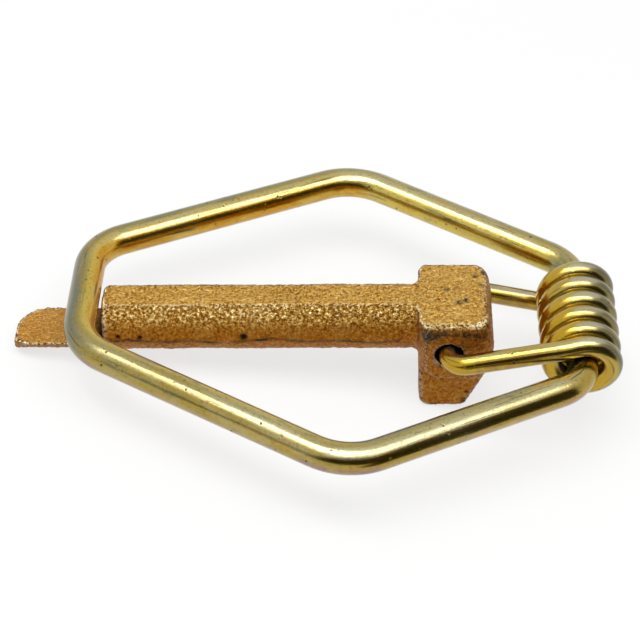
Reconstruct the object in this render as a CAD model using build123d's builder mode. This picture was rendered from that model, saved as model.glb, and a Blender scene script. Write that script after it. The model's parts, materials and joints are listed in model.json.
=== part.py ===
"""Lynch pin: a forged pin body, a bent wire locking ring and the coil spring that carries the ring.

The pin is laid out along its own X axis, from the tongue (-X) to the coil spring (+X), with the flat of the
stem facing +Z and the cross hole of the head at X = 0. It lies at rest on the foot of its lug and the end of
its tongue, so this layout is tilted about Y by an angle that follows from those two places.
"""

import os
from math import asin, atan, atan2, cos, degrees, hypot, pi, sin, sqrt

from build123d import *

# Stem and tongue
stem_diameter = 8.0
stem_length = 39.6
stem_flat_height = 3.57
stem_end_round = 0.6
tongue_length = 11.5
tongue_relief = 0.18
tongue_face_drop = 1.45
tongue_corner_radius = 3.9
tongue_chamfer_length = 2.0
tongue_chamfer_width = 1.0

# Head round the cross hole
head_length = 9.25
head_width = 12.3
head_depth = 5.3
head_back_bulge = 0.85
head_top_round = 0.9
head_back_round = 1.9
head_corner_length = 0.8
head_corner_width = 1.2
head_corner_share = 0.6
head_sag_drop = 3.2
head_lower_round = 0.4
hole_diameter = 3.5
hole_drop = 1.3
hole_from_shoulder = 3.7
hole_rim_chamfer = 0.25

# Lug below the head
lug_depth = 10.9
lug_width = 10.3
lug_foot_length = 5.7
lug_corner_radius = 1.5
lug_back_radius = 0.9
lug_side_round = 0.6

# Coil spring
spring_wire = 2.55
coil_reach = 16.3
coil_drop = 1.55
coil_bore_clearance = 0.5
coil_side_slip = 0.45
coil_turn_gap = 0.25
coil_whole_turns = 5
hook_bend_radius = 2.3
hook_play = 0.25
hook_tip_gap = 3.6
arm_lead_length = 1.6
arm_lead_radius = 8.0

# Locking ring
ring_wire = 3.9
ring_end_gap = 0.6
ring_lift = 3.8
ring_drop = 1.25
ring_stem_clearance = 0.25
ring_crest_back = 12.3
ring_crest_half_width = 27.0
ring_front_half_width = 9.2
ring_back_half_width = 11.0
ring_crest_radius = 8.0
ring_front_radius = 6.8
ring_back_radius = 5.8

# Places along the pin, measured from the cross hole
stem_radius = stem_diameter / 2
tongue_radius = stem_radius - tongue_relief
tongue_half_width = sqrt(tongue_radius**2 - tongue_face_drop**2)
shoulder_width = head_width / 2 - stem_radius
corner_width = min(head_corner_width, head_corner_share * shoulder_width)
neck_radius = shoulder_width - corner_width
shoulder_x = -hole_from_shoulder
stem_end_x = shoulder_x - stem_length
tongue_tip_x = stem_end_x - tongue_length
head_end_x = shoulder_x + head_length
head_rim_x = head_end_x - head_back_bulge
foot_start_x = shoulder_x + lug_corner_radius

# Rest pose: the lug's rounded foot and the lower edge of the tongue's tip touch the ground
foot_span = foot_start_x - tongue_tip_x
foot_fall = lug_depth - lug_corner_radius - tongue_radius
rest_tilt = atan2(foot_fall, foot_span) + asin(lug_corner_radius / hypot(foot_fall, foot_span))
axis_height = tongue_radius * cos(rest_tilt) - tongue_tip_x * sin(rest_tilt)

# Coil and arms: each arm runs on a tangent from its hook to the coil's mean circle
coil_radius = (ring_wire + spring_wire) / 2 + coil_bore_clearance
coil_outer_radius = coil_radius + spring_wire / 2
coil_pitch = spring_wire + coil_turn_gap
near_rise = hole_drop - hook_play - coil_drop
far_rise = hole_drop + hook_play - coil_drop
near_angle = asin(coil_radius / hypot(near_rise, coil_reach)) + atan2(near_rise, coil_reach)
far_angle = asin(coil_radius / hypot(far_rise, coil_reach)) - atan2(far_rise, coil_reach)
coil_turns = coil_whole_turns + (pi + near_angle + far_angle) / (2 * pi)
coil_half_length = coil_pitch * coil_turns / 2
lead_angle = atan(coil_pitch / (2 * pi * coil_radius))
lead_run = arm_lead_length * cos(lead_angle)
arm_y = coil_half_length + arm_lead_length * sin(lead_angle)
hook_tip_y = hook_tip_gap / 2

# Ring: from the coil's axis to its front side, which stands just clear of the stem's end
ring_run = coil_reach - stem_end_x + ring_stem_clearance + ring_wire / 2
ring_rise = ring_lift + ring_drop
ring_length = hypot(ring_run, ring_rise)
crest_x = -(coil_reach + ring_crest_back) * ring_length / ring_run

# The tilted layout, centred over the ground from the tongue's tip to the coil's outer side
tip_reach = tongue_tip_x * cos(rest_tilt) + tongue_face_drop * sin(rest_tilt)
coil_end = coil_reach * cos(rest_tilt) + coil_drop * sin(rest_tilt) + coil_outer_radius
middle_x = (tip_reach + coil_end) / 2
plan_plane = Plane(Location((-middle_x, 0, axis_height), (0, -degrees(rest_tilt), 0)))
side_plane = Plane(plan_plane.origin, x_dir=plan_plane.x_dir, z_dir=-plan_plane.y_dir)
end_plane = Plane(plan_plane.origin, x_dir=plan_plane.y_dir, z_dir=plan_plane.x_dir)
stem_axis = Axis(plan_plane.origin, plan_plane.x_dir)
flat_plane = plan_plane.offset(stem_flat_height)
up_axis = Axis(plan_plane.origin, plan_plane.z_dir)


def at(x, y, z):
    """Place a point of the pin's own layout in the resting frame."""
    return plan_plane.from_local_coords((x, y, z))


os.makedirs("parts", exist_ok=True)

# Bar: the stepped tongue, the round stem with its flared neck and the flat along the top
with BuildPart() as bar:
    with BuildSketch(end_plane.offset(tongue_tip_x)):
        Circle(tongue_radius)
    extrude(amount=tongue_length + stem_radius)
    split(bisect_by=plan_plane.offset(-tongue_face_drop), keep=Keep.BOTTOM)
    # The tongue's tip: one corner rounded, the other bevelled
    with BuildSketch(plan_plane):
        with BuildLine():
            corner = CenterArc(
                (tongue_tip_x + tongue_corner_radius, tongue_half_width - tongue_corner_radius),
                tongue_corner_radius, 90, 90,
            )
            Polyline(
                corner @ 1,
                (tongue_tip_x, stem_diameter),
                (tongue_tip_x + tongue_corner_radius, stem_diameter),
                corner @ 0,
            )
        make_face()
        with BuildLine():
            Polyline(
                (tongue_tip_x, tongue_chamfer_width - tongue_half_width),
                (tongue_tip_x + tongue_chamfer_length, -tongue_half_width),
                (tongue_tip_x + tongue_chamfer_length, -stem_diameter),
                (tongue_tip_x, -stem_diameter),
                (tongue_tip_x, tongue_chamfer_width - tongue_half_width),
            )
        make_face()
    extrude(amount=stem_diameter, both=True, mode=Mode.SUBTRACT)
    # The stem, broken at its end rim and flared into the head
    with BuildSketch(side_plane):
        with BuildLine():
            rim = CenterArc(
                (stem_end_x + stem_end_round, stem_radius - stem_end_round), stem_end_round, 90, 90,
            )
            flare = CenterArc(
                (shoulder_x - neck_radius, stem_radius + neck_radius), neck_radius, 270, 90,
            )
            Line(rim @ 0, flare @ 0)
            Polyline(
                flare @ 1,
                (0, stem_radius + neck_radius),
                (0, 0),
                (stem_end_x, 0),
                rim @ 1,
            )
        make_face()
    revolve(axis=stem_axis)
    split(bisect_by=flat_plane, keep=Keep.BOTTOM)

bar.part.label = "bar"

# Head block with a bulging back, its lower side sagging from the shoulder
with BuildPart() as head:
    with BuildSketch(side_plane):
        with BuildLine():
            back = ThreePointArc(
                (head_rim_x, -head_depth),
                (head_end_x, -hole_drop),
                (head_rim_x, stem_flat_height),
            )
            top = Line(back @ 1, (shoulder_x, stem_flat_height))
            front = Line(top @ 1, (shoulder_x, head_sag_drop - head_depth))
            sag = CenterArc((shoulder_x + head_sag_drop, head_sag_drop - head_depth), head_sag_drop, 180, 90)
            Line(sag @ 1, back @ 0)
        make_face()
    extrude(amount=head_width / 2, both=True)
    # The shoulder's corners are broken where the neck runs into them
    with BuildSketch(plan_plane):
        for side in (1, -1):
            with BuildLine():
                Polyline(
                    (shoulder_x, side * (head_width / 2 - corner_width)),
                    (shoulder_x, side * head_width / 2),
                    (shoulder_x + head_corner_length, side * head_width / 2),
                    close=True,
                )
            make_face()
    extrude(amount=head_depth, both=True, mode=Mode.SUBTRACT)
    back_corners = [head.faces().sort_by(Axis.Y)[i].edges().sort_by(stem_axis)[-1] for i in (0, -1)]
    fillet(back_corners, head_back_round)
    fillet(head.faces().sort_by(up_axis)[-1].edges().sort_by(stem_axis)[3:], head_top_round)
    lower_edges = [e for i in (0, -1) for e in head.faces().sort_by(Axis.Y)[i].edges().sort_by(up_axis)[:2]]
    fillet(lower_edges, head_lower_round)

head.part.label = "head"

# Lug under the head, cut away on the coil's side
with BuildPart() as lug:
    with BuildSketch(side_plane):
        with BuildLine():
            Polyline(
                (shoulder_x, 0),
                (shoulder_x, -lug_depth),
                (shoulder_x + lug_foot_length, -lug_depth),
                (head_rim_x, -head_depth),
                (head_rim_x - head_back_round, 0),
                (shoulder_x, 0),
            )
        make_face()
    extrude(amount=lug_width / 2, both=True)
    fillet(lug.edges().filter_by(Axis.Y).group_by(up_axis)[0].sort_by(stem_axis)[0], lug_corner_radius)
    fillet(lug.edges().filter_by(Axis.Y).sort_by_distance(
        at(shoulder_x + lug_foot_length, 0, -lug_depth))[0], lug_back_radius)
    fillet(lug.faces().sort_by(Axis.Y)[0].edges(), lug_side_round)
    fillet(lug.faces().sort_by(Axis.Y)[-1].edges(), lug_side_round)

lug.part.label = "lug"

# Pin body, forged in one piece
with BuildPart() as pin_body:
    add(bar.part)
    add(head.part)
    add(lug.part)
    # Cross hole for the spring's hooks, opened a little at both rims
    with BuildSketch(plan_plane.offset(-hole_drop)):
        with BuildLine():
            Polyline(
                (0, -head_width / 2 - hole_rim_chamfer),
                (hole_diameter / 2 + 2 * hole_rim_chamfer, -head_width / 2 - hole_rim_chamfer),
                (hole_diameter / 2, -head_width / 2 + hole_rim_chamfer),
                (hole_diameter / 2, head_width / 2 - hole_rim_chamfer),
                (hole_diameter / 2 + 2 * hole_rim_chamfer, head_width / 2 + hole_rim_chamfer),
                (0, head_width / 2 + hole_rim_chamfer),
                (0, -head_width / 2 - hole_rim_chamfer),
            )
        make_face()
    revolve(axis=Axis(at(0, 0, -hole_drop), plan_plane.y_dir), mode=Mode.SUBTRACT)

pin_body.part.label = "pin_body"
export_step(pin_body.part, "parts/pin_body.step")

# Coil spring: one wire from hook to hook
coil_start = Vector(-coil_radius * sin(near_angle), -coil_half_length, coil_radius * cos(near_angle))
coil_finish = Vector(-coil_radius * sin(far_angle), coil_half_length, -coil_radius * cos(far_angle))
coil_centre = Vector(coil_reach, -coil_side_slip, -coil_drop)
near_hook_z = hook_play - hole_drop
far_hook_z = -hook_play - hole_drop
near_lead = coil_centre + coil_start - Vector(
    lead_run * cos(near_angle), arm_y - coil_half_length, lead_run * sin(near_angle)
)
far_lead = coil_centre + coil_finish + Vector(
    -lead_run * cos(far_angle), arm_y - coil_half_length, lead_run * sin(far_angle)
)
coil_foot = coil_centre - Vector(0, coil_half_length, 0)
coil_plane = Plane(
    at(*coil_foot), x_dir=at(*(coil_centre + coil_start)) - at(*coil_foot), z_dir=plan_plane.y_dir,
)
with BuildPart() as coil_spring:
    with BuildLine() as turns:
        Helix(coil_pitch, 2 * coil_half_length, coil_radius)
    with BuildLine() as wire:
        FilletPolyline(
            at(0, -hook_tip_y - coil_side_slip, near_hook_z),
            at(0, -arm_y - coil_side_slip, near_hook_z),
            at(*near_lead),
            at(*(coil_centre + coil_start)),
            radius=[hook_bend_radius, arm_lead_radius],
        )
        add(coil_plane.from_local_coords(turns.line))
        FilletPolyline(
            at(*(coil_centre + coil_finish)),
            at(*far_lead),
            at(0, arm_y - coil_side_slip, far_hook_z),
            at(0, hook_tip_y - coil_side_slip, far_hook_z),
            radius=[arm_lead_radius, hook_bend_radius],
        )
    with BuildSketch(Plane(at(0, -hook_tip_y - coil_side_slip, near_hook_z), z_dir=-plan_plane.y_dir)):
        Circle(spring_wire / 2)
    sweep(path=wire.wires()[0])

coil_spring.part.label = "coil_spring"
export_step(coil_spring.part, "parts/coil_spring.step")

# Locking ring: bent to six sides, its open ends meeting inside the coil, high in the bore
ring_plane = Plane(
    at(coil_reach, 0, -ring_drop),
    x_dir=at(ring_run, 0, -ring_rise) - at(0, 0, 0),
    z_dir=at(ring_rise, 0, ring_run) - at(0, 0, 0),
)
with BuildPart() as locking_ring:
    with BuildLine(ring_plane) as loop:
        FilletPolyline(
            (0, -ring_end_gap / 2),
            (0, -ring_back_half_width),
            (crest_x, -ring_crest_half_width),
            (-ring_length, -ring_front_half_width),
            (-ring_length, ring_front_half_width),
            (crest_x, ring_crest_half_width),
            (0, ring_back_half_width),
            (0, ring_end_gap / 2),
            radius=[
                ring_back_radius, ring_crest_radius, ring_front_radius,
                ring_front_radius, ring_crest_radius, ring_back_radius,
            ],
        )
    with BuildSketch(Plane(ring_plane.from_local_coords((0, -ring_end_gap / 2, 0)), z_dir=-ring_plane.y_dir)):
        Circle(ring_wire / 2)
    sweep()

locking_ring.part.label = "locking_ring"
export_step(locking_ring.part, "parts/locking_ring.step")
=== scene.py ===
"""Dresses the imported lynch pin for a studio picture.

The pin body is a rough yellow-zinc forging, the locking ring is one thick bent wire, and the coil spring is a
thinner wire with a hook at each end. Each of the three is a class that builds its mesh and dresses it.
"""

import json
import logging
import math
from dataclasses import dataclass, field
from enum import Enum
from typing import Any, Optional, Sequence, Union

import bpy
import numpy as np
from mathutils import Matrix, Vector, noise

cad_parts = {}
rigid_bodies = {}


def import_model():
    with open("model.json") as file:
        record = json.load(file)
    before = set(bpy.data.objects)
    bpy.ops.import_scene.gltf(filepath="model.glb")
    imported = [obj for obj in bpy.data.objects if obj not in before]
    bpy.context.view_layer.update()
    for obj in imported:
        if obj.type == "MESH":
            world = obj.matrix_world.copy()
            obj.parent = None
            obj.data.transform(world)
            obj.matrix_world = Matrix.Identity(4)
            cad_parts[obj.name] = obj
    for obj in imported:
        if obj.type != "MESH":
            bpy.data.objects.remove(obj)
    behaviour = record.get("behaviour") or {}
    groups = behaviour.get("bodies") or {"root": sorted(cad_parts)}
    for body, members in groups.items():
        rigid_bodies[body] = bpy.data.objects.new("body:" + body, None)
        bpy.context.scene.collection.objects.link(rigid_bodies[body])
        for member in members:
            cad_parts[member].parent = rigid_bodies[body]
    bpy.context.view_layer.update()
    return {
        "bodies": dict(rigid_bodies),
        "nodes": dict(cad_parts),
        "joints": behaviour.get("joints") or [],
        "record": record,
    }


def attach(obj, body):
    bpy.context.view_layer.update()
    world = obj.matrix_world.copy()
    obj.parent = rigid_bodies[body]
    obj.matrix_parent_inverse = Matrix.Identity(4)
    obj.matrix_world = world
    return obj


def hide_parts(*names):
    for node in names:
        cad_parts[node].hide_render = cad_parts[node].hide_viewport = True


LOG = logging.getLogger("lynch_pin")
MM = 0.001
# Depth of the cross hole under the stem's axis, in mm
HOLE_DROP = 1.3
FILM_ROUGHNESS = 0.12
WHITE = (1.0, 1.0, 1.0, 1.0)
Colour = tuple[float, float, float]
Triple = tuple[float, float, float]
Spot = tuple[float, float, float, float]


class Side(Enum):
    """The two sides of the pin, by the sign of Y."""

    NEAR = -1
    FAR = 1


class NoiseKind(Enum):
    """How fine a noise pattern is, as its detail and roughness."""

    SOFT = (2.0, 0.45)
    BROKEN = (6.0, 0.62)
    GRAINY = (8.0, 0.75)


class BendMark(Enum):
    """How a stretch of wire was made, as the number stored on its points."""

    STRAIGHT = 0.0
    WOUND = 0.6
    BENT = 1.0


@dataclass(frozen=True)
class Layout:
    """The pin's own axes and hinge lines in the row frame.

    Attributes:
        origin: Point of the stem's axis above the cross hole, in metres.
        along: Unit vector from the tongue to the coil.
        across: Unit vector over the ring, away from the camera.
        up: Unit vector out of the stem's flat.
    """

    origin: Vector
    along: Vector
    across: Vector
    up: Vector

    @classmethod
    def read(cls, record: dict[str, Any], hole_drop: float) -> "Layout":
        """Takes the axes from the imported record's stem mount and spring hinge.

        Args:
            record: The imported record.
            hole_drop: Depth of the cross hole under the stem's axis, in mm.

        Returns:
            The layout in the row frame.
        """
        stem = next(m for m in record["mounts"] if m["name"] == "stem")
        hinge = next(j for j in record["behaviour"]["joints"] if j["name"] == "spring_pivot")
        along = -Vector(stem["axis"]).normalized()
        across = Vector((0.0, 1.0, 0.0))
        up = along.cross(across).normalized()
        return cls(Vector(hinge["pos_m"]) + up * (hole_drop * MM), along, across, up)

    def at(self, x: float, y: float, z: float) -> Vector:
        """Row-frame point, in metres, for a place on the pin in mm."""
        return self.origin + (self.along * x + self.across * y + self.up * z) * MM

    def turn(self, x: float, y: float, z: float) -> Vector:
        """Row-frame direction for a direction in the pin's own axes."""
        return (self.along * x + self.across * y + self.up * z).normalized()


Value = Union["Sock", float, int]


class Sock:
    """A node's output that joins Python expressions."""

    def __init__(self, sheet: "NodeSheet", socket: bpy.types.NodeSocket) -> None:
        """Wraps one output socket of a sheet."""
        self.sheet = sheet
        self.socket = socket

    def __add__(self, other: Value) -> "Sock":
        """Sum with a value."""
        return self.sheet.math("ADD", self, other)

    def __radd__(self, other: Value) -> "Sock":
        """Sum with a value on the left."""
        return self.sheet.math("ADD", other, self)

    def __sub__(self, other: Value) -> "Sock":
        """Difference with a value."""
        return self.sheet.math("SUBTRACT", self, other)

    def __rsub__(self, other: Value) -> "Sock":
        """Difference from a value on the left."""
        return self.sheet.math("SUBTRACT", other, self)

    def __mul__(self, other: Value) -> "Sock":
        """Product with a value."""
        return self.sheet.math("MULTIPLY", self, other)

    def __rmul__(self, other: Value) -> "Sock":
        """Product with a value on the left."""
        return self.sheet.math("MULTIPLY", other, self)

    def clamp(self) -> "Sock":
        """This value held between 0 and 1."""
        return self.sheet.math("ADD", self, 0.0, clamp=True)

    def band(self, low: float, high: float) -> "Sock":
        """Smooth rise from 0 at low to 1 at high; it falls where low is above high."""
        start, end = (low, high) if low < high else (high, low)
        rise = self.sheet.node(
            "ShaderNodeMapRange",
            {"interpolation_type": "SMOOTHSTEP"},
            {"Value": self, "From Min": start, "From Max": end, "To Min": 0.0, "To Max": 1.0},
        )
        smooth = Sock(self.sheet, rise.outputs[0])
        return smooth if low < high else 1.0 - smooth


class NodeSheet:
    """The node tree of one material or world."""

    def __init__(self, owner: Union[bpy.types.Material, bpy.types.World]) -> None:
        """Empties the owner's node tree."""
        owner.use_nodes = True
        self.owner = owner
        self.tree = owner.node_tree
        self.tree.nodes.clear()

    def node(
        self,
        kind: str,
        settings: Optional[dict[str, Any]] = None,
        sockets: Optional[dict[Union[str, int], Any]] = None,
    ) -> bpy.types.Node:
        """Adds one node.

        Args:
            kind: The node's type.
            settings: Its own settings, set first; "stops" fills a colour ramp.
            sockets: Values or links of its inputs.

        Returns:
            The new node.
        """
        made = self.tree.nodes.new(kind)
        for key, value in (settings or {}).items():
            if key == "stops":
                self._fill_ramp(made.color_ramp, value)
            else:
                setattr(made, key, value)
        for key, value in (sockets or {}).items():
            if isinstance(value, Sock):
                self.tree.links.new(value.socket, made.inputs[key])
            else:
                made.inputs[key].default_value = value
        return made

    @staticmethod
    def _fill_ramp(ramp: bpy.types.ColorRamp, stops: Sequence[tuple[float, Colour]]) -> None:
        """Sets a ramp's stops from places and colours."""
        while len(ramp.elements) < len(stops):
            ramp.elements.new(1.0)
        for element, (place, colour) in zip(ramp.elements, stops):
            element.position = place
            element.color = (*colour, 1.0)

    def math(self, operation: str, a: Value, b: Value, clamp: bool = False) -> Sock:
        """One Math node on two values."""
        made = self.node("ShaderNodeMath", {"operation": operation, "use_clamp": clamp}, {0: a, 1: b})
        return Sock(self, made.outputs[0])

    def mix(self, factor: Value, a: Union[Sock, Colour], b: Union[Sock, Colour]) -> Sock:
        """Colour between a and b."""
        tints = [c if isinstance(c, Sock) else (*c, 1.0) for c in (a, b)]
        made = self.node(
            "ShaderNodeMix",
            {"data_type": "RGBA", "clamp_factor": True},
            {0: factor, 6: tints[0], 7: tints[1]},
        )
        return Sock(self, made.outputs[2])

    def ramp(self, value: Sock, stops: Sequence[tuple[float, Colour]]) -> Sock:
        """Colour that a value picks along a ramp."""
        made = self.node("ShaderNodeValToRGB", {"stops": stops}, {0: value})
        return Sock(self, made.outputs[0])

    def millimetres(self) -> Sock:
        """The piece's own coordinates, in mm."""
        place = self.node("ShaderNodeTexCoord")
        scaled = self.node(
            "ShaderNodeVectorMath",
            {"operation": "SCALE"},
            {0: Sock(self, place.outputs["Object"]), "Scale": 1.0 / MM},
        )
        return Sock(self, scaled.outputs[0])

    def attribute(self, name: str) -> bpy.types.Node:
        """A mesh attribute of the piece."""
        return self.node("ShaderNodeAttribute", {"attribute_name": name})

    def mark(self, name: str) -> Sock:
        """A number stored on the piece's points."""
        return Sock(self, self.attribute(name).outputs["Fac"])

    def split(self, vector: Sock) -> list[Sock]:
        """The three coordinates of a vector."""
        made = self.node("ShaderNodeSeparateXYZ", None, {0: vector})
        return [Sock(self, out) for out in made.outputs]

    def stretch(self, vector: Sock, scale: Triple, shift: float = 0.0) -> Sock:
        """Coordinates scaled on each axis and moved aside."""
        made = self.node(
            "ShaderNodeMapping", None, {"Vector": vector, "Scale": scale, "Location": (shift, shift, shift)}
        )
        return Sock(self, made.outputs[0])

    def noise(self, vector: Sock, scale: float, kind: NoiseKind, distortion: float = 0.0) -> Sock:
        """Noise of a kind, from 0 to 1."""
        detail, rough = kind.value
        made = self.node(
            "ShaderNodeTexNoise",
            None,
            {
                "Vector": vector,
                "Scale": scale,
                "Detail": detail,
                "Roughness": rough,
                "Distortion": distortion,
            },
        )
        return Sock(self, made.outputs[0])

    def cells(self, vector: Sock, scale: float) -> Sock:
        """Distance to the nearest of scattered points."""
        made = self.node("ShaderNodeTexVoronoi", None, {"Vector": vector, "Scale": scale})
        return Sock(self, made.outputs["Distance"])

    def bump(self, height: Sock, depth: float, strength: float) -> Sock:
        """Normal raised by a height, its depth in mm."""
        made = self.node(
            "ShaderNodeBump", None, {"Height": height, "Distance": depth * MM, "Strength": strength}
        )
        return Sock(self, made.outputs[0])

    def facing(self, way: Triple) -> Sock:
        """How far the piece's surface is turned in a direction, from -1 to 1."""
        place = self.node("ShaderNodeTexCoord")
        made = self.node(
            "ShaderNodeVectorMath",
            {"operation": "DOT_PRODUCT"},
            {0: Sock(self, place.outputs["Normal"]), 1: Vector(way).normalized()},
        )
        return Sock(self, made.outputs["Value"])

    def background_rays(self, mirrored: float = 1.0) -> Sock:
        """1 for the camera and clear materials, a given share for reflections, 0 for other light."""
        paths = self.node("ShaderNodeLightPath")
        kinds = ("Is Camera Ray", "Is Glossy Ray", "Is Transmission Ray")
        camera, glossy, clear = (Sock(self, paths.outputs[kind]) for kind in kinds)
        return (camera + glossy * mirrored + clear).clamp()

    def close(
        self, colour: Sock, roughness: Sock, metallic: Value, normal: Sock, film: float = 0.0
    ) -> bpy.types.Material:
        """Ends the sheet in one surface shader.

        Args:
            colour: Base colour.
            roughness: Roughness.
            metallic: Metallic share.
            normal: Bumped normal.
            film: Weight of the clear film on top.

        Returns:
            The finished material.
        """
        shader = self.node(
            "ShaderNodeBsdfPrincipled",
            None,
            {
                "Base Color": colour,
                "Roughness": roughness,
                "Metallic": metallic,
                "Normal": normal,
                "Coat Weight": film,
                "Coat Roughness": FILM_ROUGHNESS,
            },
        )
        self.node("ShaderNodeOutputMaterial", None, {"Surface": Sock(self, shader.outputs[0])})
        return self.owner


@dataclass(frozen=True)
class ForgedZinc:
    """Yellow zinc on a rough forging: calm flats, shoulders and edges with painted glints, dark scuffs and
    pits, and painted shade in hollows.

    Attributes:
        name: The material's name.
        dark: Pits, and painted shade in inner corners, in the cross hole, in the tongue's corner and under
            the seam.
        umber: Lowest tone of the grain.
        orange: Main tint of the sides, darker than the flats partly as painted shade.
        amber: Middle tone of the sides and shoulders.
        tan: Main tint of the flats, paler than the sides partly as painted light from above.
        clay: Redder tint of the tongue's face.
        straw: High tone of the grain.
        spark: Painted glints: bright tops of the grain where the forging faces up, and on the near edges.
        grey: Bare metal on worn edges.
        scuff: Dark smears.
        tip: Places along X, in mm, between which the tongue's tint sets in.
        glint_way: Direction in which the edges with painted glints are turned.
        cloud_scale: Clouds in each mm.
        grain_scale: Grains in each mm.
        speck_scale: Specks in each mm.
        speck_shift: How far the specks are moved aside, so that they differ from the grain.
        roughness: Roughness of the calm places.
        metal: Metallic share.
        grain_depth: Depth of the grain in the shading, in mm.
    """

    name: str = "forged_yellow_zinc"
    dark: Colour = (0.022, 0.011, 0.004)
    umber: Colour = (0.165, 0.05, 0.003)
    orange: Colour = (0.41, 0.135, 0.004)
    amber: Colour = (0.43, 0.215, 0.032)
    tan: Colour = (0.54, 0.295, 0.048)
    clay: Colour = (0.48, 0.21, 0.03)
    straw: Colour = (0.63, 0.4, 0.095)
    spark: Colour = (0.97, 0.79, 0.42)
    grey: Colour = (0.36, 0.33, 0.26)
    scuff: Colour = (0.036, 0.031, 0.027)
    tip: tuple[float, float] = (-26.3, -27.0)
    glint_way: Triple = (0.0, -0.8, 0.6)
    cloud_scale: float = 0.22
    grain_scale: float = 2.6
    speck_scale: float = 5.0
    speck_shift: float = 31.0
    roughness: float = 0.42
    metal: float = 0.95
    grain_depth: float = 0.15

    def make(self) -> bpy.types.Material:
        """Builds the material from the grain and the marks on the forging's points."""
        sheet = NodeSheet(bpy.data.materials.new(self.name))
        place = sheet.millimetres()
        aside = sheet.stretch(place, (1.0, 1.0, 1.0), self.speck_shift)
        cloud = sheet.noise(place, self.cloud_scale, NoiseKind.BROKEN)
        grain = sheet.noise(place, self.grain_scale, NoiseKind.BROKEN)
        speck = sheet.noise(aside, self.speck_scale, NoiseKind.SOFT)
        wear_and_shade, scuffed, pit, upper = (sheet.mark(name) for name in ("edge_wear", "scuff", "pit", "upper_side"))
        # Painted light from above: places that face up take the paler plain ramp, shoulders take the crown
        # ramp with spark glints, and sides take the darker side ramp.
        flat = upper.band(0.93, 0.985)
        shoulder = upper.band(0.1, 0.8) * (1.0 - flat)
        relief = grain.band(0.34, 0.66) * 0.6 + speck.band(0.28, 0.72) * 0.4
        depth = (0.5 + 0.5 * shoulder + 0.1 * flat).clamp()
        tip = sheet.split(place)[0].band(*self.tip)
        edge = wear_and_shade.band(0.57, 0.66)
        # Painted highlight: places turned towards the near side and up.
        near = sheet.facing(self.glint_way).band(0.35, 0.75)
        tone = (0.5 + (relief - 0.5) * depth * 1.25 + (cloud - 0.5) * 0.35).clamp()
        side, crown, plain = (
            sheet.ramp(tone, tuple(zip(stops, tints)))
            for stops, tints in (
                ((0.2, 0.48, 0.7, 1.0), (self.umber, self.orange, self.amber, self.straw)),
                ((0.18, 0.45, 0.68, 0.98), (self.umber, self.amber, self.straw, self.spark)),
                ((0.16, 0.5, 0.74, 1.0), (self.umber, self.tan, self.straw, self.spark)),
            )
        )
        colour = sheet.mix(flat, sheet.mix(shoulder, side, crown), sheet.mix(tip * 0.65, plain, self.clay))
        colour = sheet.mix(speck.band(0.44, 0.3) * cloud.band(0.45, 0.6) * 0.3, colour, self.grey)
        # Painted glints: spark specks on the flats.
        colour = sheet.mix(flat * speck.band(0.6, 0.72) * 0.45, colour, self.spark)
        colour = sheet.mix(edge * relief.band(0.35, 0.55) * 0.6, colour, self.grey)
        # Painted glints on worn edges that face up and towards the near side.
        glint = edge * near * upper.band(0.25, 0.6) * relief.band(0.38, 0.54)
        colour = sheet.mix(glint, colour, self.spark)
        colour = sheet.mix(edge * relief.band(0.4, 0.25) * 0.75, colour, self.scuff)
        # Painted shade: concave corners, where the curvature is low, are darkened.
        colour = sheet.mix(wear_and_shade.band(0.45, 0.3) * 0.8, colour, self.dark)
        colour = sheet.mix(scuffed * (0.55 + 0.45 * relief.band(0.7, 0.5)), colour, self.scuff)
        # Pits go dark, and so does the painted shade stored with them.
        colour = sheet.mix(pit, colour, self.dark)
        polish = relief.band(0.5, 0.9) * 0.16 * depth
        rough = (self.roughness - polish + scuffed * 0.1 + pit * 0.35).clamp()
        return sheet.close(colour, rough, self.metal, sheet.bump(relief * depth, self.grain_depth, 1.0))


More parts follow.
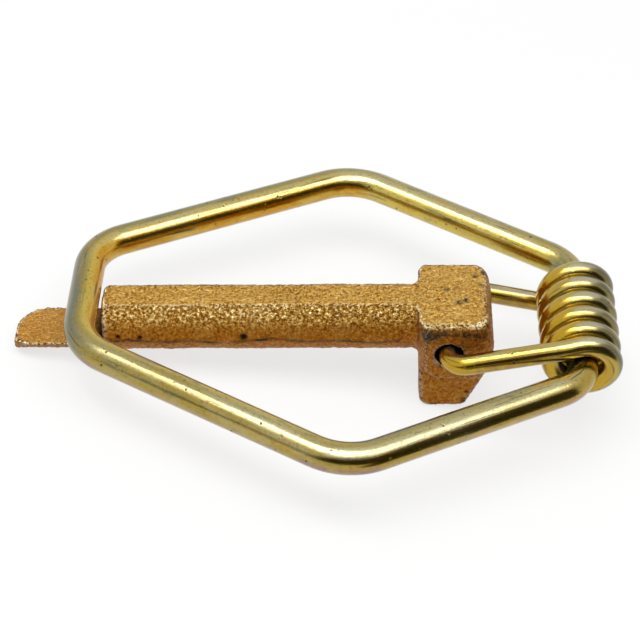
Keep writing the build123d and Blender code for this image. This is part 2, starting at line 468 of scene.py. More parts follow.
@dataclass(frozen=True)
class DrawnZinc:
    """Yellow zinc on drawn wire: gold with cloudy tints, lines along the wire and small dark pits, and
    painted light: cool and warm reflections, a lit inner side, a highlight line and shade underneath.

    Attributes:
        name: The material's name.
        gold: Main tint.
        bright: Paler tint of the worn places.
        amber: Deep tint of random patches, and painted reflection on the side turned away from the cool side.
        green: Grey-green painted reflection on the cool side.
        violet: Purple painted shade of the under side.
        pale: Tint of the painted highlight line.
        lit: Painted light: yellow tint of the inner side.
        cool_way: Direction of the side with the painted cool reflection; the opposite side gets the amber
            one.
        painted_highlight_way: Direction in which the painted highlight line is turned.
        under_way: Direction of the painted under-side shade round the wire, outward and upward.
        bends: Bend marks between which the painted under-side shade sets in.
        brown: Dark bands and pits.
        inner: How far the inner and outer sides differ in their painted light.
        sheen: Strength of the painted cool reflection.
        underside_shade: Strength of the under side's painted shade.
        smooth: Lowest roughness.
        satin: Roughness added in cloudy places.
        mottle: Strength of the fine dark mottling.
        film: Weight of the clear film.
        metal: Metallic share.
        cloud_stretch: Scale of the clouds along the wire and round it.
        patch_stretch: Scale of the patches.
        streak_stretch: Scale of the streaks.
        line_stretch: Scale of the drawing lines.
        grain_scale: Grains in each mm.
        blotch_scale: Blotches in each mm.
        pit_scale: Pits in each mm.
        relief: Depth of the lines and pits in the shading, in mm, and its strength.
    """

    name: str
    gold: Colour
    bright: Colour
    amber: Colour
    green: Colour
    violet: Colour
    pale: Colour
    lit: Colour
    brown: Colour
    cool_way: Triple
    painted_highlight_way: Triple
    under_way: tuple[float, float]
    bends: tuple[float, float]
    inner: float
    sheen: float
    underside_shade: float
    smooth: float
    satin: float
    mottle: float
    film: float
    metal: float = 0.98
    cloud_stretch: Triple = (0.06, 0.5, 0.5)
    patch_stretch: Triple = (0.16, 1.1, 1.1)
    streak_stretch: Triple = (0.09, 3.2, 3.2)
    line_stretch: Triple = (0.25, 16.0, 16.0)
    grain_scale: float = 2.6
    blotch_scale: float = 0.5
    pit_scale: float = 0.85
    relief: tuple[float, float] = (0.05, 0.6)

    def make(self) -> bpy.types.Material:
        """Builds the material on the wire's own places: length along it, and directions round it."""
        sheet = NodeSheet(bpy.data.materials.new(self.name))
        place = sheet.millimetres()
        wire = Sock(sheet, sheet.attribute("wire_place").outputs["Vector"])
        _, outward, upward = sheet.split(wire)
        bent = sheet.mark("wire_bend").band(*self.bends)
        cool = sheet.facing(self.cool_way)
        clouds = sheet.noise(sheet.stretch(wire, self.cloud_stretch), 1.0, NoiseKind.BROKEN, 0.6)
        patches = sheet.noise(sheet.stretch(wire, self.patch_stretch, 19.0), 1.0, NoiseKind.BROKEN, 0.4)
        streaks = sheet.noise(sheet.stretch(wire, self.streak_stretch, 7.0), 1.0, NoiseKind.BROKEN)
        lines = sheet.noise(sheet.stretch(wire, self.line_stretch, 3.0), 1.0, NoiseKind.SOFT)
        grain = sheet.noise(place, self.grain_scale, NoiseKind.GRAINY)
        blotch = sheet.noise(place, self.blotch_scale, NoiseKind.BROKEN)
        pits = sheet.cells(place, self.pit_scale).band(0.2, 0.09) * blotch.band(0.5, 0.6)
        colour = sheet.mix(clouds.band(0.42, 0.62), self.gold, self.bright)
        # Painted light: the inner side turns yellow.
        colour = sheet.mix(outward.band(0.2, -0.5) * self.inner * 0.7, colour, self.lit)
        # Painted reflection: amber on the side turned away from the cool side.
        warm = cool.band(0.0, -0.5) * (0.35 + 0.65 * patches.band(0.38, 0.56))
        warm = warm * (1.0 - outward.band(-0.2, 0.4) * self.inner)
        colour = sheet.mix(warm, colour, self.amber)
        # Painted reflection: grey-green on the side turned to the cool side.
        chill = cool.band(-0.05, 0.6) * (0.6 + 0.4 * streaks.band(0.36, 0.58))
        colour = sheet.mix(chill * self.sheen, colour, self.green)
        # Painted reflection: grey-green patches spreading over the cool side.
        painted_shade_mark = patches.band(0.44, 0.34) * cool.band(-0.7, 0.1) * self.sheen
        colour = sheet.mix(painted_shade_mark * 0.55, colour, self.green)
        colour = sheet.mix(patches.band(0.56, 0.66) * 0.45, colour, self.amber)
        # Painted highlight: a pale line where the wire faces up and towards the near side.
        painted_highlight = sheet.facing(self.painted_highlight_way).band(0.88, 0.985)
        colour = sheet.mix(painted_highlight * (0.4 + 0.6 * clouds.band(0.36, 0.56)) * 0.8, colour, self.pale)
        # Painted shade: violet on the under side of the wire.
        under = (outward * self.under_way[0] + upward * self.under_way[1]).band(0.45, 0.8)
        colour = sheet.mix(under * bent * blotch.band(0.36, 0.58) * self.underside_shade, colour, self.violet)
        colour = sheet.mix(streaks.band(0.42, 0.3) * 0.75, colour, self.brown)
        colour = sheet.mix(grain.band(0.52, 0.62) * self.mottle, colour, self.brown)
        colour = sheet.mix(pits * 0.95, colour, self.brown)
        rough = (self.smooth + self.satin * clouds.band(0.35, 0.65) + grain * 0.08 + pits * 0.3).clamp()
        height = lines * 0.35 + grain * 0.45 - pits * 1.2
        return sheet.close(colour, rough, self.metal, sheet.bump(height, *self.relief), self.film)


RING_ZINC = DrawnZinc(
    name="drawn_yellow_zinc_ring",
    gold=(0.42, 0.3, 0.04),
    bright=(0.5, 0.41, 0.15),
    amber=(0.62, 0.31, 0.004),
    green=(0.17, 0.19, 0.135),
    violet=(0.34, 0.2, 0.19),
    pale=(0.52, 0.49, 0.28),
    lit=(0.84, 0.64, 0.1),
    brown=(0.06, 0.04, 0.012),
    cool_way=(-0.85, 0.5, 0.1),
    painted_highlight_way=(0.0, -0.45, 0.89),
    under_way=(0.64, -0.77),
    bends=(-0.6, 1.0),
    inner=0.85,
    sheen=0.95,
    underside_shade=0.9,
    smooth=0.13,
    satin=0.08,
    mottle=0.35,
    film=0.45,
)
SPRING_ZINC = DrawnZinc(
    name="drawn_yellow_zinc_spring",
    gold=(0.48, 0.33, 0.028),
    bright=(0.52, 0.4, 0.1),
    amber=(0.56, 0.34, 0.01),
    green=(0.12, 0.112, 0.066),
    violet=(0.16, 0.08, 0.07),
    pale=(0.54, 0.5, 0.34),
    lit=(0.52, 0.36, 0.03),
    brown=(0.06, 0.03, 0.008),
    cool_way=(0.85, 0.3, 0.3),
    painted_highlight_way=(0.05, -0.15, 0.99),
    under_way=(1.0, 0.0),
    bends=(0.5, 0.1),
    inner=0.0,
    sheen=0.95,
    underside_shade=0.4,
    smooth=0.12,
    satin=0.03,
    mottle=0.15,
    film=0.45,
)


def only(thing: bpy.types.Object) -> None:
    """Makes one object the only selected one."""
    bpy.ops.object.select_all(action="DESELECT")
    thing.select_set(True)
    bpy.context.view_layer.objects.active = thing


@dataclass
class BentWire:
    """A round wire drawn out of one circle along runs, bends and turns.

    Attributes:
        name: The piece's name.
        radius: The wire's radius, in metres.
        sides: Number of points round the wire.
        smooth_angle: Edges flatter than this are shaded smooth, in degrees.
        trail: Centre, heading, outward side and bend mark of each ring of points.
        thing: The wire's object, once it is started.
    """

    name: str
    radius: float
    sides: int = 36
    smooth_angle: float = 50.0
    trail: list[tuple[Vector, Vector, Vector, BendMark]] = field(default_factory=list)
    thing: Optional[bpy.types.Object] = None

    def start(self, centre: Vector, heading: Vector, outward: Vector) -> None:
        """Draws the first cut end and leaves it selected for the next move.

        Args:
            centre: Middle of the cut.
            heading: Way the wire goes.
            outward: Side that counts as the wire's outer side.
        """
        bpy.ops.object.select_all(action="DESELECT")
        frame = Matrix((outward, heading.cross(outward), heading)).transposed()
        bpy.ops.mesh.primitive_circle_add(
            vertices=self.sides,
            radius=self.radius,
            fill_type="NOTHING",
            location=centre,
            rotation=frame.to_euler(),
        )
        self.thing = bpy.context.object
        self.thing.name = self.name
        self.thing.data.name = self.name
        bpy.ops.object.transform_apply(location=True, rotation=True, scale=True)
        bpy.ops.object.mode_set(mode="EDIT")
        bpy.ops.mesh.select_all(action="SELECT")
        self.trail.append((centre.copy(), heading.normalized(), outward.normalized(), BendMark.STRAIGHT))

    def run(self, length: float, step: float = 0.0015) -> None:
        """Draws the wire straight on by a length, in steps of about the given size."""
        count = max(1, round(length / step))
        centre, heading, outward, _ = self.trail[-1]
        for k in range(1, count + 1):
            bpy.ops.mesh.extrude_region_move(TRANSFORM_OT_translate={"value": heading * (length / count)})
            here = centre + heading * (length * k / count)
            self.trail.append((here, heading, outward, BendMark.STRAIGHT))

    def bend(self, angle: float, centre: Vector, axis: Vector, step: float = 0.09) -> None:
        """Spins the wire round a centre.

        Args:
            angle: Turn in radians, right-handed about the axis.
            centre: Middle of the bend.
            axis: Axis of the bend.
            step: Turn of one step, in radians.
        """
        count = max(2, round(angle / step))
        bpy.ops.mesh.spin(steps=count, angle=-angle, center=centre, axis=axis, dupli=False)
        for _ in range(count):
            turn = Matrix.Rotation(angle / count, 3, axis)
            last, heading, outward, _ = self.trail[-1]
            here = centre + turn @ (last - centre)
            self.trail.append((here, turn @ heading, turn @ outward, BendMark.BENT))

    def follow(self, corners: Sequence[Vector], radii: Sequence[float]) -> None:
        """Runs through corners, each rounded, and ends at the last point.

        Args:
            corners: Corner points, then the end point.
            radii: Bend radius of each corner, in metres.
        """
        for corner, after, radius in zip(corners, corners[1:], radii):
            here, heading, _, _ = self.trail[-1]
            onward = (after - corner).normalized()
            angle = heading.angle(onward)
            self.run((corner - here).length - radius * math.tan(angle / 2))
            axis = heading.cross(onward).normalized()
            self.bend(angle, self.trail[-1][0] + axis.cross(heading) * radius, axis)
        self.run((corners[-1] - self.trail[-1][0]).length)

    def wind(self, middle: Vector, pitch: float, turns: float, steps: int) -> None:
        """Winds the wire right-handed round a line along Y.

        Args:
            middle: A point of the coil's axis.
            pitch: Advance of one turn, in metres.
            turns: Number of turns.
            steps: Steps of one turn.
        """
        count = round(turns * steps)
        angle, rise = 2 * math.pi * turns / count, Vector((0.0, pitch * turns / count, 0.0))
        turn = Matrix.Rotation(angle, 3, "Y")
        for _ in range(count):
            bpy.ops.mesh.extrude_region_move(TRANSFORM_OT_translate={"value": rise})
            bpy.ops.transform.rotate(value=-angle, orient_axis="Y", center_override=middle)
            last, heading, outward, _ = self.trail[-1]
            here = middle + turn @ (last + rise - middle)
            self.trail.append((here, turn @ heading, turn @ outward, BendMark.WOUND))

    def close(self) -> bpy.types.Object:
        """Closes both cut ends, smooths the shading and marks each point's place on the wire.

        Returns:
            The finished wire.
        """
        bpy.ops.mesh.select_all(action="SELECT")
        bpy.ops.mesh.fill_holes(sides=0)
        bpy.ops.mesh.select_all(action="SELECT")
        bpy.ops.mesh.normals_make_consistent(inside=False)
        bpy.ops.object.mode_set(mode="OBJECT")
        only(self.thing)
        bpy.ops.object.shade_smooth_by_angle(angle=math.radians(self.smooth_angle))
        self._mark_places()
        return self.thing

    def _mark_places(self) -> None:
        """Stores the length along the wire, the directions round it and the bends as attributes."""
        mesh = self.thing.data
        points = np.empty(len(mesh.vertices) * 3)
        mesh.vertices.foreach_get("co", points)
        points = points.reshape(len(self.trail), self.sides, 3)
        places, bends, gone = [], [], 0.0
        for k, (centre, heading, outward, mark) in enumerate(self.trail):
            if k:
                gone += (centre - self.trail[k - 1][0]).length
            radial = (points[k] - np.array(centre)) / self.radius
            sideways = [radial @ np.array(way) for way in (outward, heading.cross(outward))]
            places.append(np.stack((np.full(self.sides, gone / MM), *sideways), 1))
            bends.append(np.full(self.sides, mark.value))
        for name, kind, key, values in (
            ("wire_place", "FLOAT_VECTOR", "vector", places),
            ("wire_bend", "FLOAT", "value", bends),
        ):
            stored = mesh.attributes.new(name, kind, "POINT")
            stored.data.foreach_set(key, np.concatenate(values).ravel().astype(np.float32))


@dataclass
class LockingRing:
    """The six-sided ring: one thick wire whose ends meet inside the coil. Lengths in mm."""

    layout: Layout
    wire: float = 3.9
    end_gap: float = 0.6
    coil_reach: float = 16.3
    drop: float = 1.25
    front_x: float = -45.5
    front_lift: float = 3.8
    crest_x: float = -12.3
    crest_half_width: float = 27.0
    front_half_width: float = 9.2
    back_half_width: float = 11.0
    crest_radius: float = 8.0
    front_radius: float = 6.8
    back_radius: float = 5.8

    def point(self, x: float, y: float) -> Vector:
        """A place in the ring's sloping plane."""
        share = (self.coil_reach - x) / (self.coil_reach - self.front_x)
        return self.layout.at(x, y, -self.drop + share * (self.front_lift + self.drop))

    def build(self) -> bpy.types.Object:
        """Bends the ring, from its near end round to its far end."""
        near = [
            self.point(self.coil_reach, -self.back_half_width),
            self.point(self.crest_x, -self.crest_half_width),
            self.point(self.front_x, -self.front_half_width),
        ]
        far = [
            self.point(self.front_x, self.front_half_width),
            self.point(self.crest_x, self.crest_half_width),
            self.point(self.coil_reach, self.back_half_width),
            self.point(self.coil_reach, self.end_gap / 2),
        ]
        radii = [self.back_radius, self.crest_radius, self.front_radius]
        wire = BentWire("ring_wire_loop", self.wire / 2 * MM)
        outward = (self.point(self.coil_reach, 0.0) - self.point(self.front_x, 0.0)).normalized()
        wire.start(self.point(self.coil_reach, -self.end_gap / 2), -self.layout.across, outward)
        wire.follow(near + far, [r * MM for r in radii + radii[::-1]])
        return wire.close()

    def dress(self, thing: bpy.types.Object) -> None:
        """Gives the ring its finish and joins it to its body."""
        thing.data.materials.append(RING_ZINC.make())
        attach(thing, "ring")
        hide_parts("locking_ring")


@dataclass
class CoilSpring:
    """The coil with its two arms and the hooks that stand in the cross hole. Lengths in mm."""

    layout: Layout
    wire: float = 2.55
    reach: float = 16.3
    drop: float = 1.55
    mean_radius: float = 3.725
    side_slip: float = 0.45
    pitch: float = 2.8
    whole_turns: int = 5
    hole_drop: float = HOLE_DROP
    hook_play: float = 0.25
    hook_tip: float = 1.8
    hook_bend: float = 2.3
    lead_length: float = 1.6
    lead_radius: float = 8.0
    steps_per_turn: int = 48

    def arm_angle(self, side: Side) -> float:
        """Angle of an arm towards the coil, in radians, as a tangent from its hook."""
        rise = self.hole_drop + side.value * self.hook_play - self.drop
        slope = math.atan2(rise, self.reach)
        return math.asin(self.mean_radius / math.hypot(rise, self.reach)) - side.value * slope

    def at(self, x: float, y: float, z: float) -> Vector:
        """A place on the spring, which has slipped a little to the near side."""
        return self.layout.at(x, y - self.side_slip, z)

    def build(self) -> bpy.types.Object:
        """Bends the spring from its near hook, through the coil, to its far hook."""
        near, far = self.arm_angle(Side.NEAR), self.arm_angle(Side.FAR)
        turns = self.whole_turns + (math.pi + near + far) / (2 * math.pi)
        half = self.pitch * turns / 2
        lead = math.atan(self.pitch / (2 * math.pi * self.mean_radius))
        run = self.lead_length * math.cos(lead)
        arm_y = half + self.lead_length * math.sin(lead)
        radius = self.mean_radius
        start, end = (
            (self.reach - radius * math.sin(arm), -self.drop - side.value * radius * math.cos(arm))
            for arm, side in ((near, Side.NEAR), (far, Side.FAR))
        )
        near_z, far_z = self.hook_play - self.hole_drop, -self.hook_play - self.hole_drop
        radii = [self.hook_bend * MM, self.lead_radius * MM]
        wire = BentWire("spring_wire_coil", self.wire / 2 * MM, sides=28)
        wire.start(self.at(0.0, -self.hook_tip, near_z), -self.layout.across, -self.layout.along)
        wire.follow(
            [
                self.at(0.0, -arm_y, near_z),
                self.at(start[0] - run * math.cos(near), -arm_y, start[1] - run * math.sin(near)),
                self.at(start[0], -half, start[1]),
            ],
            radii,
        )
        wire.wind(self.at(self.reach, 0.0, -self.drop), self.pitch * MM, turns, self.steps_per_turn)
        wire.follow(
            [
                self.at(end[0] - run * math.cos(far), arm_y, end[1] + run * math.sin(far)),
                self.at(0.0, arm_y, far_z),
                self.at(0.0, self.hook_tip, far_z),
            ],
            radii[::-1],
        )
        return wire.close()

    def dress(self, thing: bpy.types.Object) -> None:
        """Gives the spring its finish and joins it to its body."""
        thing.data.materials.append(SPRING_ZINC.make())
        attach(thing, "spring")
        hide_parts("coil_spring")


@dataclass
class ForgedPin:
    """The forged body: the solid's own form with a grainy skin, a parting seam and worn edges, in mm."""

    layout: Layout
    merge_distance: float = 0.002
    voxel: float = 0.165
    smooth_turns: int = 3
    smooth_share: float = 0.5
    curvature_gain: float = 23.5
    curvature_turns: int = 6
    wave_size: float = 5.0
    wave_height: float = 0.08
    lump_size: float = 1.2
    lump_height: float = 0.05
    grain_size: float = 0.42
    grain_height: float = 0.09
    hole_reach: float = 1.85
    hole_depth: float = 5.85
    tongue_start: float = -43.3
    tongue_level: float = -1.45
    corner_reach: float = 1.3
    corner_height: float = 0.8
    seam_height: float = 0.16
    seam_width: float = 0.32
    seam_level: float = -0.25
    seam_wander: float = 0.7
    seam_turn: float = 0.6
    seam_shade: float = 0.85
    stem_start: float = -43.0
    stem_end: float = -6.0
    pit_depth: float = 0.22
    pit_ragged: float = 0.4
    scuff_ragged: float = 0.55
    spot_core: float = 1.35
    pits: tuple[Spot, ...] = (
        (-25.5, -4.0, 0.1, 0.5),
        (-41.3, -4.0, 0.15, 0.3),
        (-39.9, -4.0, -0.15, 0.2),
        (-38.5, -4.0, 0.05, 0.3),
        (-37.0, -4.0, -0.2, 0.22),
        (3.6, -5.9, 1.8, 0.3),
        (2.3, -5.1, -8.3, 0.3),
        (-8.0, 3.1, 2.3, 0.3),
        (-30.0, 3.8, -0.6, 0.4),
        (1.0, 5.1, -7.0, 0.4),
    )
    scuffs: tuple[Spot, ...] = (
        (-3.2, -6.0, 1.9, 1.0),
        (-2.4, -6.1, 1.9, 1.0),
        (-1.5, -6.1, 2.1, 0.8),
        (-0.6, -6.1, 2.3, 0.7),
        (0.7, -6.1, 2.2, 0.55),
        (2.0, -6.1, 2.3, 0.5),
        (3.3, -6.1, 2.1, 0.55),
        (4.6, -6.0, 2.0, 0.6),
        (-0.4, 1.0, 3.6, 0.5),
        (1.2, -1.4, 3.6, 0.45),
        (2.0, -1.2, 3.6, 0.45),
        (4.0, 1.8, 3.5, 0.4),
        (4.4, 4.2, 3.3, 0.5),
        (3.4, 3.4, 3.6, 0.35),
        (2.0, -4.9, -9.8, 0.5),
        (-2.4, 6.1, 1.0, 1.0),
    )

    def build(self, solid: bpy.types.Object) -> bpy.types.Object:
        """Makes the forging from a copy of the solid's mesh.

        Args:
            solid: The CAD node's object, which is left alone.

        Returns:
            The forged piece.
        """
        thing = bpy.data.objects.new("forged_pin", solid.data.copy())
        thing.data.name = "forged_pin"
        thing.data.materials.clear()
        bpy.context.scene.collection.objects.link(thing)
        only(thing)
        bpy.ops.object.mode_set(mode="EDIT")
        bpy.ops.mesh.select_all(action="SELECT")
        bpy.ops.mesh.remove_doubles(threshold=self.merge_distance * MM)
        bpy.ops.object.mode_set(mode="OBJECT")
        skin = thing.modifiers.new("skin", "REMESH")
        skin.mode = "VOXEL"
        skin.voxel_size = self.voxel * MM
        bpy.ops.object.modifier_apply(modifier=skin.name)
        rounding = thing.modifiers.new("rounding", "SMOOTH")
        rounding.factor, rounding.iterations = self.smooth_share, self.smooth_turns
        bpy.ops.object.modifier_apply(modifier=rounding.name)
        self._forge(thing.data)
        bpy.ops.object.shade_smooth()
        return thing

    def _local(self, points: np.ndarray) -> np.ndarray:
        """Row-frame points as places on the pin, in mm."""
        axes = np.array((self.layout.along, self.layout.across, self.layout.up))
        return (points - np.array(self.layout.origin)) @ axes.T / MM

    def _forge(self, mesh: bpy.types.Mesh) -> None:
        """Raises the forging's skin and stores its worn edges, scuffs and pits as attributes, with painted
        shade in concave corners, in the cross hole, in the tongue's inner corner and under the seam.
        """
        count = len(mesh.vertices)
        points, normals = np.empty(count * 3), np.empty(count * 3)
        mesh.vertices.foreach_get("co", points)
        mesh.vertices.foreach_get("normal", normals)
        points, normals = points.reshape(-1, 3), normals.reshape(-1, 3)
        place = self._local(points)
        edges = np.empty(len(mesh.edges) * 2, dtype=np.int64)
        mesh.edges.foreach_get("vertices", edges)
        wear_and_shade = self._curvature(points, normals, edges.reshape(-1, 2))
        height = np.zeros(count)
        for size, rise in (
            (self.wave_size, self.wave_height),
            (self.lump_size, self.lump_height),
            (self.grain_size, self.grain_height),
        ):
            height += rise * np.array([noise.noise(Vector(p) / size) for p in place])
        height += self._seam(place, normals, 0.0)
        dents_and_shade = self._spots(place, self.pits, self.pit_ragged)
        height -= self.pit_depth * dents_and_shade
        mesh.vertices.foreach_set("co", (points + normals * height[:, None] * MM).ravel())
        mesh.update()
        scuffed = self._spots(place, self.scuffs, self.scuff_ragged)
        # Painted shade: the inside of the cross hole is marked dark with the pits.
        bore = np.hypot(place[:, 0], place[:, 2] + HOLE_DROP) < self.hole_reach
        dents_and_shade[bore & (np.abs(place[:, 1]) < self.hole_depth)] = 1.0
        # How far each place faces up, which the material uses for painted light from above.
        upper = np.clip(normals @ np.array(self.layout.up), 0.0, 1.0)
        # Painted shadow in the tongue's inner corner, at the foot of the stem's step.
        tongue = place[:, 0] < self.tongue_start
        corner = np.clip(1.4 - (self.tongue_start - place[:, 0]) / self.corner_reach, 0.0, 1.0)
        low = np.clip(1.3 - (place[:, 2] - self.tongue_level) / self.corner_height, 0.0, 1.0)
        dents_and_shade = np.maximum(dents_and_shade, np.where(tongue, corner * low, 0.0))
        # Painted shade: a dark line just under the seam's ridge.
        painted_shade_mark = self._seam(place, normals, -self.seam_width) / self.seam_height * self.seam_shade
        dents_and_shade = np.maximum(dents_and_shade, painted_shade_mark)
        for name, values in (("edge_wear", wear_and_shade), ("scuff", scuffed), ("pit", dents_and_shade), ("upper_side", upper)):
            mesh.attributes.new(name, "FLOAT", "POINT").data.foreach_set("value", values.astype(np.float32))

    def _curvature(self, points: np.ndarray, normals: np.ndarray, edges: np.ndarray) -> np.ndarray:
        """How far points stand out from their neighbours.

        Args:
            points: The mesh's points, in metres.
            normals: Their normals.
            edges: Pairs of neighbours.

        Returns:
            0.5 on a flat, more on an edge and less in a corner, from 0 to 1.
        """
        total, number = np.zeros_like(points), np.zeros(len(points))
        for a, b in ((0, 1), (1, 0)):
            np.add.at(total, edges[:, a], points[edges[:, b]])
            np.add.at(number, edges[:, a], 1.0)
        out = ((points - total / number[:, None]) * normals).sum(1) / MM
        for _ in range(self.curvature_turns):
            spread = np.zeros(len(points))
            for a, b in ((0, 1), (1, 0)):
                np.add.at(spread, edges[:, a], out[edges[:, b]])
            out = 0.5 * out + 0.5 * spread / number
        return np.clip(0.5 + out * self.curvature_gain, 0.0, 1.0)

    def _seam(self, place: np.ndarray, normals: np.ndarray, shift: float) -> np.ndarray:
        """Height of the parting seam, a wavy ridge along both sides of the stem.

        Args:
            place: Points on the pin, in mm.
            normals: Their normals.
            shift: How far above the seam's line the ridge is taken, in mm.

        Returns:
            One height in mm for each point.
        """
        wander = np.array([noise.noise(Vector((x * 0.16, 3.0 * np.sign(y), 0.0))) for x, y, _ in place])
        fade = np.array([noise.noise(Vector((x * 0.45, 9.0 * np.sign(y), 5.0))) for x, y, _ in place])
        off = (place[:, 2] - self.seam_level - shift - wander * self.seam_wander) / self.seam_width
        along = (place[:, 0] > self.stem_start) & (place[:, 0] < self.stem_end)
        ridge = self.seam_height * np.exp(-off * off) * np.clip(0.75 + fade, 0.0, 1.3)
        return np.where(along & (np.abs(normals[:, 1]) > self.seam_turn), ridge, 0.0)

    def _spots(self, place: np.ndarray, spots: Sequence[Spot], ragged: float) -> np.ndarray:
        """Soft round spots, 1 in their middle.

        Args:
            place: Points on the pin, in mm.
            spots: Middle and radius of each spot, in mm.
            ragged: How much noise breaks a spot's rim.

        Returns:
            One value from 0 to 1 for each point.
        """
        shake = ragged * np.array([noise.noise(Vector(p) * 0.9) for p in place])
        level = np.zeros(len(place))
        for x, y, z, radius in spots:
            far = np.linalg.norm(place - np.array((x, y, z)), axis=1) / radius
            level = np.maximum(level, np.clip(self.spot_core - far + shake, 0.0, 1.0))
        return level

    def dress(self, thing: bpy.types.Object) -> None:
        """Gives the forging its finish and joins it to its body."""
        thing.data.materials.append(ForgedZinc().make())
        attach(thing, "pin")
        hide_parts("pin_body")


@dataclass(frozen=True)
class PhotoCamera:
    """The camera at the photograph's angle, fitted to the pin's own axes, in mm and degrees."""

    layout: Layout
    elevation: float = 41.902
    azimuth: float = 3.106
    roll: float = -2.29
    focal_px: float = 1909.55
    picture_px: int = 640
    distance: float = 241.03
    target_x: float = -16.144
    target_z: float = -0.675
    sensor: float = 36.0
    clip: tuple[float, float] = (10.0, 20000.0)

    def place(self) -> bpy.types.Object:
        """Adds the camera and makes it the scene's."""
        e, a, r = (math.radians(v) for v in (self.elevation, self.azimuth, self.roll))
        back = Vector((math.sin(a) * math.cos(e), -math.cos(a) * math.cos(e), math.sin(e)))
        right = Vector((math.cos(a), math.sin(a), 0.0))
        up = back.cross(right)
        level, tall = right * math.cos(r) + up * math.sin(r), up * math.cos(r) - right * math.sin(r)
        spot = Vector((self.target_x, 0.0, self.target_z)) + back * self.distance
        columns = [self.layout.turn(*v) for v in (level, tall, back)]
        lens = bpy.data.cameras.new("photo_camera")
        lens.sensor_width, lens.lens = self.sensor, self.focal_px / self.picture_px * self.sensor
        lens.clip_start, lens.clip_end = (length * MM for length in self.clip)
        camera = bpy.data.objects.new("photo_camera", lens)
        turn = Matrix(columns).transposed().to_4x4()
        camera.matrix_world = Matrix.Translation(self.layout.at(*spot)) @ turn
        bpy.context.scene.collection.objects.link(camera)
        bpy.context.scene.camera = camera
        return camera


@dataclass(frozen=True)
class SoftBox:
    """One soft studio lamp. Lengths in metres."""

    name: str
    place: Triple
    size: tuple[float, float]
    power: float
    aim: Triple = (0.0, 0.0, 0.01)

    def hang(self) -> None:
        """Adds the lamp, turned to its aim."""
        lamp = bpy.data.lights.new(self.name, "AREA")
        lamp.shape, lamp.size, lamp.size_y, lamp.energy = "RECTANGLE", *self.size, self.power
        thing = bpy.data.objects.new(self.name, lamp)
        thing.location = self.place
        thing.rotation_euler = (Vector(self.aim) - Vector(self.place)).to_track_quat("-Z", "Y").to_euler()
        bpy.context.scene.collection.objects.link(thing)


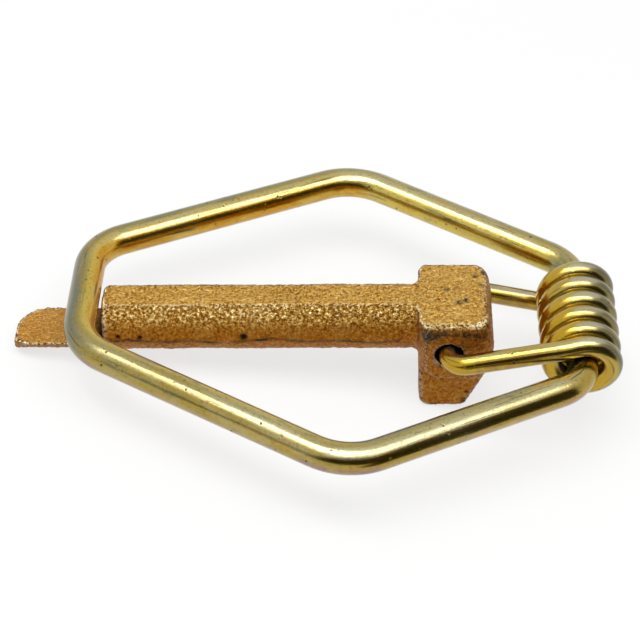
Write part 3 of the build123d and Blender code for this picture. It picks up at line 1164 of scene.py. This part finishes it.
@dataclass(frozen=True)
class Studio:
    """Plain pale floor, white surroundings, soft lamps and dark sheets that only reflections see.

    Attributes:
        floor_size: Side of the floor, in metres.
        floor_tone: The floor's colour.
        floor_clear: Share of the white room that shows through the floor. It pales the shadow, and keeps
            what swings below the floor in sight.
        ambient: Level of light from the surroundings.
        mirrored: Level of the surroundings in reflections.
        dark_tone: The dark sheets' colour.
        screen_path: Places of the standing sheet's foot with its height there, in metres.
        apron: Corners of the lying sheet, its near edge first, in metres.
        apron_height: Height of the lying sheet, in metres.
        boxes: The lamps.
    """

    floor_size: float = 4.0
    floor_tone: Colour = (0.9, 0.9, 0.9)
    floor_clear: float = 0.72
    ambient: float = 0.48
    mirrored: float = 0.82
    dark_tone: Colour = (0.025, 0.022, 0.02)
    screen_path: tuple[Triple, ...] = (
        (-1.2, -0.8, 0.17),
        (-0.5, -0.62, 0.2),
        (-0.2, -0.6, 0.5),
        (0.4, -0.6, 0.68),
        (0.62, -0.45, 0.68),
        (0.72, -0.2, 0.55),
    )
    apron: tuple[tuple[float, float], ...] = ((0.012, -0.055), (0.072, -0.02), (0.4, -0.6), (0.72, -0.2))
    apron_height: float = 0.0005
    boxes: tuple[SoftBox, ...] = (
        SoftBox("top_box", (0.0, -0.16, 0.8), (1.1, 0.42), 4.2),
        SoftBox("strip_box", (-0.15, -0.12, 0.6), (0.55, 0.06), 0.9),
    )

    def set_up(self) -> None:
        """Builds the studio."""
        bpy.context.scene.view_settings.view_transform = "Standard"
        self._floor()
        self._screens()
        self._world()
        for box in self.boxes:
            box.hang()

    @staticmethod
    def _paint(name: str, tone: Colour, clear: float = 0.0) -> bpy.types.Material:
        """A matt paint that lets a share of the white room through to the camera and to reflections."""
        sheet = NodeSheet(bpy.data.materials.new(name))
        paint = sheet.node("ShaderNodeBsdfDiffuse", None, {"Color": (*tone, 1.0)})
        gap = sheet.node("ShaderNodeBsdfTransparent")
        both = sheet.node(
            "ShaderNodeMixShader",
            None,
            {
                0: sheet.background_rays() * clear,
                1: Sock(sheet, paint.outputs[0]),
                2: Sock(sheet, gap.outputs[0]),
            },
        )
        sheet.node("ShaderNodeOutputMaterial", None, {"Surface": Sock(sheet, both.outputs[0])})
        return sheet.owner

    def _floor(self) -> None:
        bpy.ops.object.select_all(action="DESELECT")
        bpy.ops.mesh.primitive_grid_add(x_subdivisions=4, y_subdivisions=4, size=self.floor_size)
        floor = bpy.context.object
        floor.name = "studio_floor"
        floor.data.materials.append(self._paint("pale_floor", self.floor_tone, self.floor_clear))

    def _screens(self) -> None:
        """Stands one dark sheet round the camera's side and lays one on the floor."""
        foot = [(x, y, 0.0) for x, y, _ in self.screen_path]
        self._sheet("dark_screen", foot + list(self.screen_path))
        self._sheet("dark_apron", [(x, y, self.apron_height) for x, y in self.apron])

    def _sheet(self, name: str, places: Sequence[Triple]) -> None:
        """Args:
            name: The sheet's name.
            places: Points of one long edge, then of the other, in metres.
        """
        columns = len(places) // 2
        bpy.ops.object.select_all(action="DESELECT")
        bpy.ops.mesh.primitive_grid_add(x_subdivisions=columns - 1, y_subdivisions=1, size=1.0)
        thing = bpy.context.object
        thing.name = name
        points = sorted(thing.data.vertices, key=lambda v: (v.co.y, v.co.x))
        for point, place in zip(points, places):
            point.co = place
        thing.data.materials.append(self._paint(name, self.dark_tone))
        thing.visible_camera = thing.visible_diffuse = thing.visible_shadow = False
        thing.visible_transmission = False

    def _world(self) -> None:
        """White surroundings for the camera and for reflections, a plain level of light for the rest."""
        world = bpy.data.worlds.new("white_room")
        bpy.context.scene.world = world
        sheet = NodeSheet(world)
        rest = 1.0 - self.ambient
        level = self.ambient + sheet.background_rays((self.mirrored - self.ambient) / rest) * rest
        back = sheet.node("ShaderNodeBackground", None, {"Color": WHITE, "Strength": level})
        sheet.node("ShaderNodeOutputWorld", None, {"Surface": Sock(sheet, back.outputs[0])})


def main() -> None:
    """Loads the frame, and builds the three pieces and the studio."""
    logging.basicConfig(level=logging.INFO, format="%(name)s: %(message)s")
    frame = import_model()
    layout = Layout.read(frame["record"], HOLE_DROP)
    pin = ForgedPin(layout)
    forged = pin.build(frame["nodes"]["pin_body"])
    pin.dress(forged)
    pieces = [forged]
    for maker in (LockingRing(layout), CoilSpring(layout)):
        piece = maker.build()
        maker.dress(piece)
        pieces.append(piece)
    for piece in pieces:
        LOG.info("%s: %d points", piece.name, len(piece.data.vertices))
    Studio().set_up()
    PhotoCamera(layout).place()


if __name__ == "__main__":
    main()
